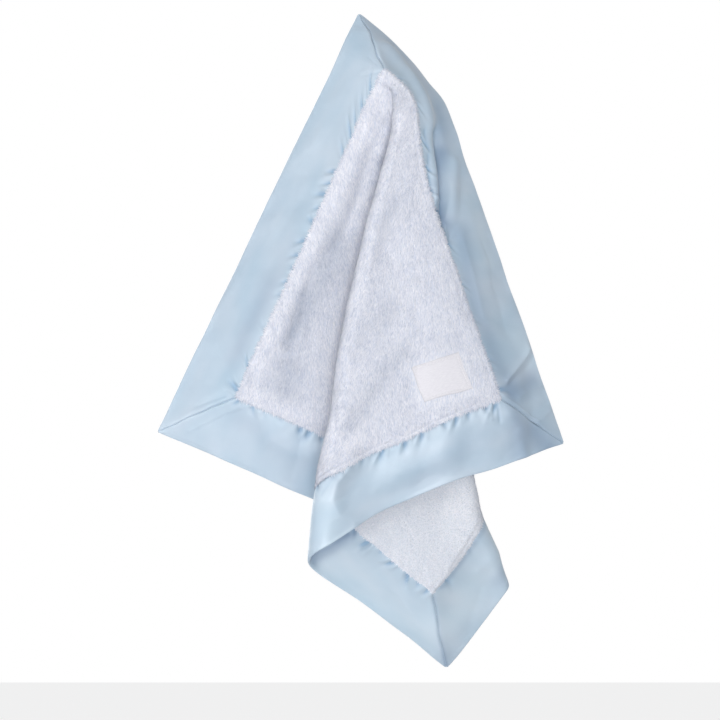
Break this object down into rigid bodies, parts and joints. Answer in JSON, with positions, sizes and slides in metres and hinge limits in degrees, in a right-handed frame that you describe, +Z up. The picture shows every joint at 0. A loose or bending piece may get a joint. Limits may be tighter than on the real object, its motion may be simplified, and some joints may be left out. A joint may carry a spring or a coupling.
{
  "type": "comfort blanket",
  "caption": "Small square comfort blanket, plush on both faces with a wide mitred satin border, hung by a corner in soft folds, with a bare sewn label.",
  "frame": {"origin": "the place on the front of the satin border, beside the top corner, where the cloth is held", "axes": "+Z up, along the hang; the face with the label looks along -Y; +X to the right as seen from there"},
  "size_m": [0.3179, 0.1052, 0.5119],
  "materials": {
    "front_plush": "short brushed pile",
    "back_plush": "short curly pile",
    "satin": "smooth satin",
    "thread": "spun thread",
    "label": "woven satin tape",
    "label_thread": "spun thread"
  },
  "bodies": {
    "root": {"front_plush_panel": "front_plush", "back_plush_panel": "back_plush", "border_upper_left": "satin", "border_upper_right": "satin", "border_lower_left": "satin", "border_lower_right": "satin", "front_seam_thread_upper_left": "thread", "front_seam_thread_upper_right": "thread", "front_seam_thread_lower_left": "thread", "front_seam_thread_lower_right": "thread", "back_seam_thread_upper_left": "thread", "back_seam_thread_upper_right": "thread", "back_seam_thread_lower_left": "thread", "back_seam_thread_lower_right": "thread", "mitre_thread_top": "thread", "mitre_thread_left": "thread", "mitre_thread_right": "thread", "mitre_thread_bottom": "thread", "label": "label", "label_stitching": "label_thread"}
  },
  "joints": []
}
